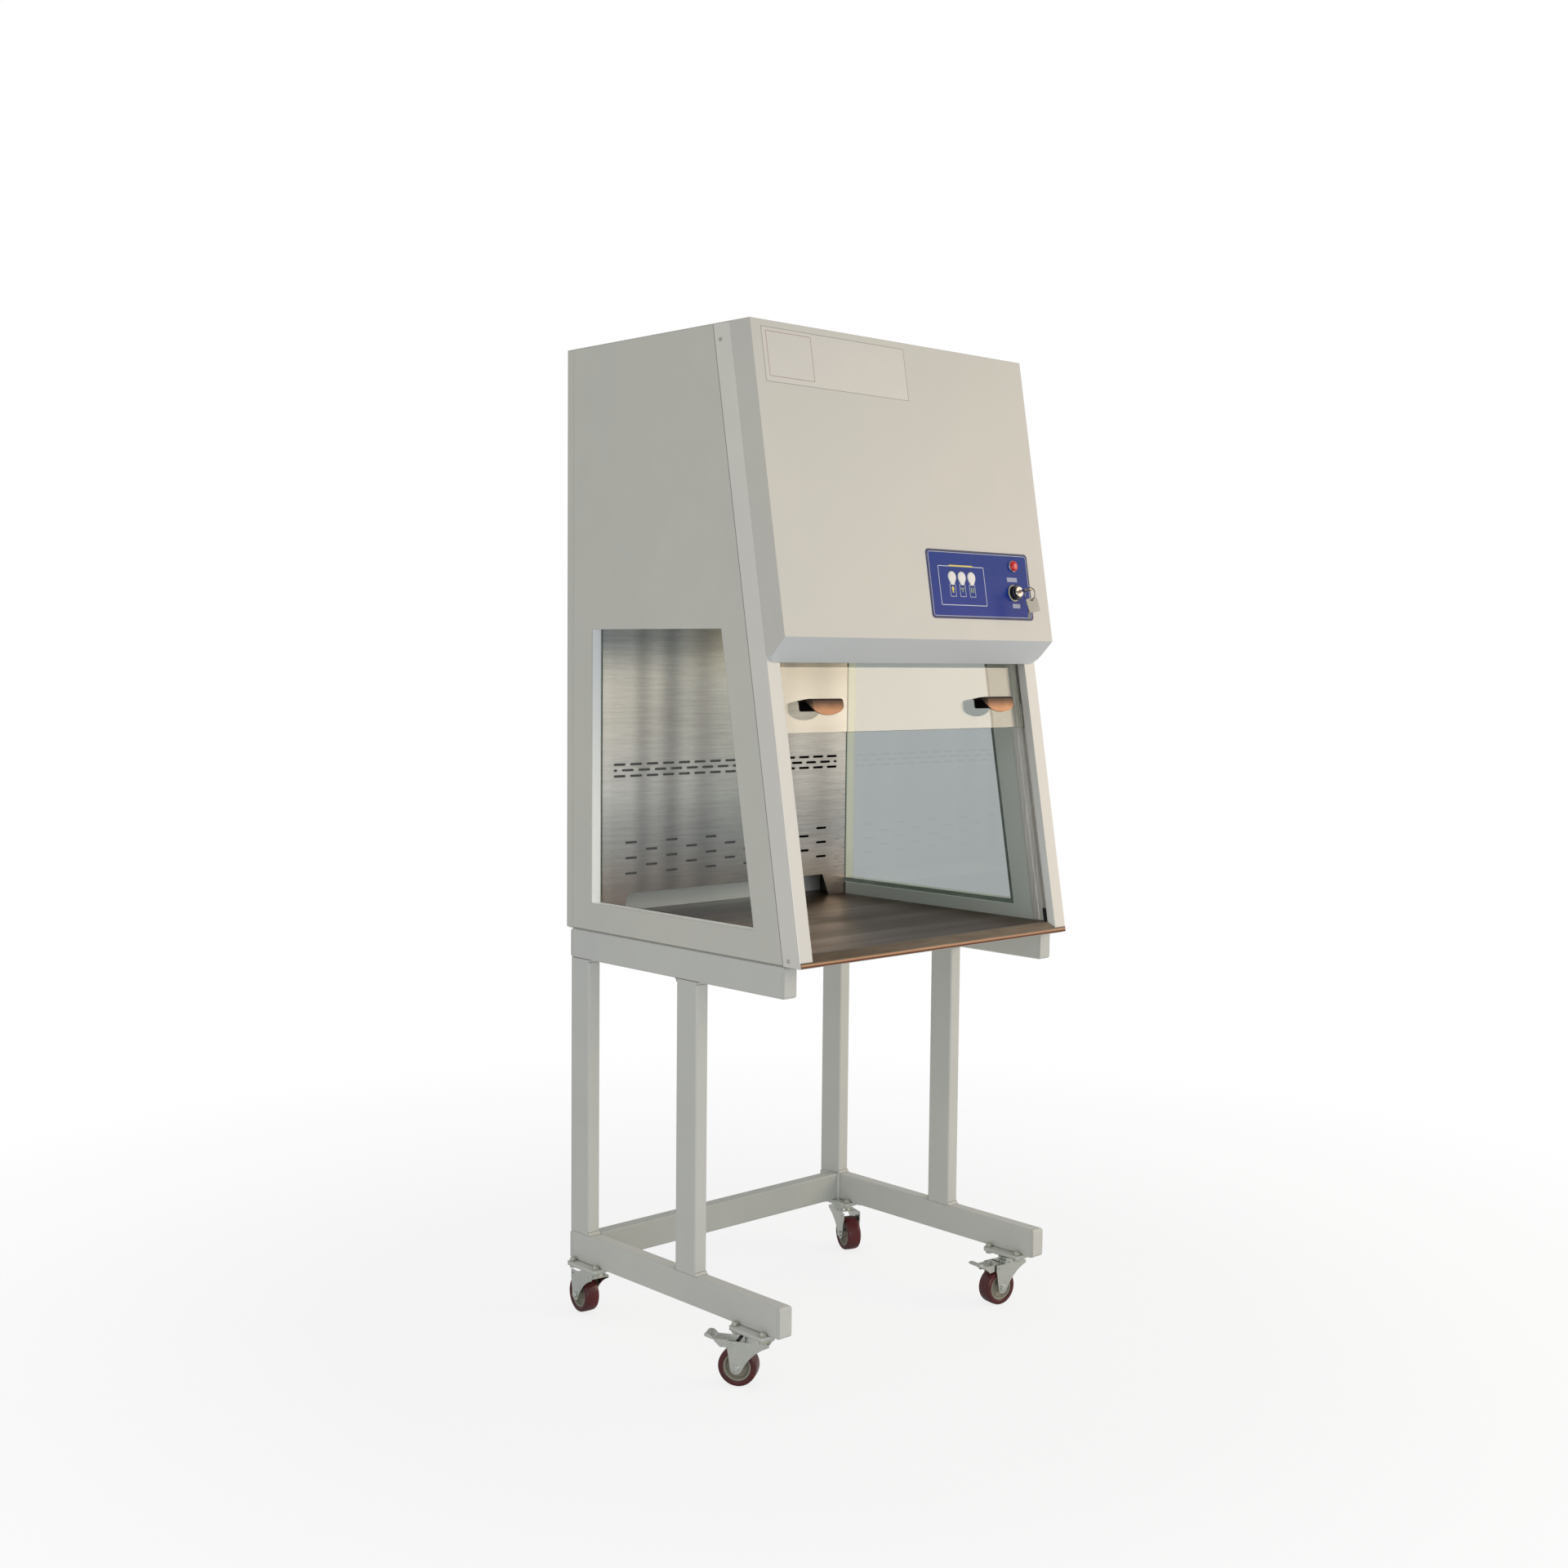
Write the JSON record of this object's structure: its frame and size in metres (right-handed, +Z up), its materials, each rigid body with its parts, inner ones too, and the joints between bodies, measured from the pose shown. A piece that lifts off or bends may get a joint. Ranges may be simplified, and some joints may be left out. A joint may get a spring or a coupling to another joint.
{
  "type": "pcr cabinet",
  "caption": "Wheeled sheet-metal work cabinet with a slanted sliding glass sash, side windows, a perforated steel back and a key-operated control plate.",
  "frame": {"origin": "on the floor under the middle of the whole outline, which the front left brake pedal widens to the left; the cabinet's own middle plane is at x = 0.0179", "axes": "+Z up, -Y towards the front opening, +X to the right as seen from the front"},
  "size_m": [0.8208, 0.7024, 1.97],
  "materials": {
    "cabinet_paint": "fine-textured warm grey powder coat",
    "liner_paint": "smooth grey coat",
    "stand_paint": "fine-textured warm grey powder coat",
    "cap_plastic": "moulded grey plastic",
    "zinc": "bright zinc plate",
    "fastener_steel": "zinc-plated screws and nuts",
    "tread_rubber": "moulded dark red polyurethane",
    "hub_plastic": "moulded beige-grey core",
    "stainless": "brushed stainless sheet",
    "anodised": "satin anodised extrusion",
    "window_glass": "clear sheet",
    "sash_glass": "clear toughened sheet",
    "seal_rubber": "black moulded rubber",
    "glider_nylon": "natural nylon",
    "pull_bronze": "dark bronze plate",
    "panel_blue": "satin royal blue overlay",
    "key_white": "satin white key",
    "bezel_chrome": "plated bezel",
    "lens_red": "translucent red dome",
    "switch_black": "black moulding",
    "board_green": "circuit board",
    "filter_media": "pleated glass-fibre pack",
    "blower_steel": "galvanised sheet",
    "tube_glass": "frosted lamp tube",
    "holder_white": "white moulding"
  },
  "bodies": {
    "cabinet": {"stand_legs": "stand_paint", "stand_rails": "stand_paint", "stand_crossbars": "stand_paint", "rail_end_caps": "cap_plastic", "caster_mount_plates": "stand_paint", "caster_top_plates": "zinc", "caster_fasteners": "fastener_steel", "left_side_panel": "cabinet_paint", "right_side_panel": "cabinet_paint", "inner_side_panels": "liner_paint", "window_panes": "window_glass", "window_gaskets": "seal_rubber", "front_corner_strips": "cabinet_paint", "rear_panel": "cabinet_paint", "top_panel": "cabinet_paint", "base_pan": "cabinet_paint", "worktop": "stainless", "back_panel": "stainless", "hood": "cabinet_paint", "power_inlet": "switch_black", "case_screws": "fastener_steel", "sash_guides": "anodised", "sash_stops": "seal_rubber", "control_plate": "panel_blue", "control_board": "board_green", "pilot_bezel": "bezel_chrome", "pilot_lens": "lens_red", "lock_body": "switch_black", "filter_box": "liner_paint", "hepa_filter": "filter_media", "diffuser_screen": "anodised", "front_baffle": "liner_paint", "lamp_tubes": "tube_glass", "lamp_holders": "holder_white", "blower_housing": "blower_steel", "blower_motor": "switch_black"},
    "sash": {"sash_glass": "sash_glass", "sash_pulls": "pull_bronze", "sash_gliders": "glider_nylon"},
    "lock_key": {"lock_barrel": "bezel_chrome", "switch_key": "bezel_chrome"},
    "hanging_keys": {"key_ring": "bezel_chrome"},
    "key_1": {"push_key_1": "key_white"},
    "key_2": {"push_key_2": "key_white"},
    "key_3": {"push_key_3": "key_white"},
    "blower_rotor": {"blower_wheel": "blower_steel"},
    "front_left_swivel": {"front_left_fork": "zinc"},
    "front_left_wheel": {"front_left_hub": "hub_plastic", "front_left_tread": "tread_rubber"},
    "front_right_swivel": {"front_right_fork": "zinc"},
    "front_right_wheel": {"front_right_hub": "hub_plastic", "front_right_tread": "tread_rubber"},
    "rear_left_swivel": {"rear_left_fork": "zinc"},
    "rear_left_wheel": {"rear_left_hub": "hub_plastic", "rear_left_tread": "tread_rubber"},
    "rear_right_swivel": {"rear_right_fork": "zinc"},
    "rear_right_wheel": {"rear_right_hub": "hub_plastic", "rear_right_tread": "tread_rubber"},
    "front_left_pedal": {"front_left_brake_pedal": "zinc"},
    "front_right_pedal": {"front_right_brake_pedal": "zinc"}
  },
  "joints": [
    {"name": "sash_slide", "type": "slide", "parent": "cabinet", "child": "sash", "axis": [0, 0.1736, 0.9848], "range_m": [-0.376, 0.06]},
    {"name": "lock_turn", "type": "hinge", "parent": "cabinet", "child": "lock_key", "pos_m": [0.2879, -0.2844, 1.49109], "axis": [0, -0.9848, 0.1736], "range_deg": [0, 90]},
    {"name": "key_ring_swing", "type": "hinge", "parent": "lock_key", "child": "hanging_keys", "pos_m": [0.2879, -0.32576, 1.49838], "axis": [0, -0.9848, 0.1736], "range_deg": [-20, 20]},
    {"name": "blower_spin", "type": "hinge", "parent": "cabinet", "child": "blower_rotor", "pos_m": [0.0179, 0.06, 1.752], "axis": [1, 0, 0], "continuous": true},
    {"name": "key_1_press", "type": "slide", "parent": "cabinet", "child": "key_1", "axis": [0, 0.9848, -0.1736], "range_m": [0, 0.001], "stiffness_N_per_m": 800, "springref_m": -0.001},
    {"name": "key_2_press", "type": "slide", "parent": "cabinet", "child": "key_2", "axis": [0, 0.9848, -0.1736], "range_m": [0, 0.001], "stiffness_N_per_m": 800, "springref_m": -0.001},
    {"name": "key_3_press", "type": "slide", "parent": "cabinet", "child": "key_3", "axis": [0, 0.9848, -0.1736], "range_m": [0, 0.001], "stiffness_N_per_m": 800, "springref_m": -0.001},
    {"name": "front_left_swivel_turn", "type": "hinge", "parent": "cabinet", "child": "front_left_swivel", "pos_m": [-0.3421, -0.228, 0.095], "axis": [0, 0, 1], "continuous": true},
    {"name": "front_left_wheel_roll", "type": "hinge", "parent": "front_left_swivel", "child": "front_left_wheel", "pos_m": [-0.36171, -0.19781, 0.0375], "axis": [-0.8387, -0.5446, 0], "continuous": true},
    {"name": "front_right_swivel_turn", "type": "hinge", "parent": "cabinet", "child": "front_right_swivel", "pos_m": [0.3779, -0.228, 0.095], "axis": [0, 0, 1], "continuous": true},
    {"name": "front_right_wheel_roll", "type": "hinge", "parent": "front_right_swivel", "child": "front_right_wheel", "pos_m": [0.34225, -0.22299, 0.0375], "axis": [-0.1392, -0.9903, 0], "continuous": true},
    {"name": "rear_left_swivel_turn", "type": "hinge", "parent": "cabinet", "child": "rear_left_swivel", "pos_m": [-0.3421, 0.278, 0.095], "axis": [0, 0, 1], "continuous": true},
    {"name": "rear_left_wheel_roll", "type": "hinge", "parent": "rear_left_swivel", "child": "rear_left_wheel", "pos_m": [-0.33771, 0.31373, 0.0375], "axis": [-0.9925, 0.1219, 0], "continuous": true},
    {"name": "rear_right_swivel_turn", "type": "hinge", "parent": "cabinet", "child": "rear_right_swivel", "pos_m": [0.3779, 0.278, 0.095], "axis": [0, 0, 1], "continuous": true},
    {"name": "rear_right_wheel_roll", "type": "hinge", "parent": "rear_right_swivel", "child": "rear_right_wheel", "pos_m": [0.36577, 0.24411, 0.0375], "axis": [0.9415, -0.3371, 0], "continuous": true},
    {"name": "front_left_pedal_press", "type": "hinge", "parent": "front_left_swivel", "child": "front_left_pedal", "pos_m": [-0.36715, -0.18942, 0.081], "axis": [-0.8387, -0.5446, 0], "range_deg": [0, 10]},
    {"name": "front_right_pedal_press", "type": "hinge", "parent": "front_right_swivel", "child": "front_right_pedal", "pos_m": [0.33235, -0.2216, 0.081], "axis": [-0.1392, -0.9903, 0], "range_deg": [0, 10]}
  ]
}
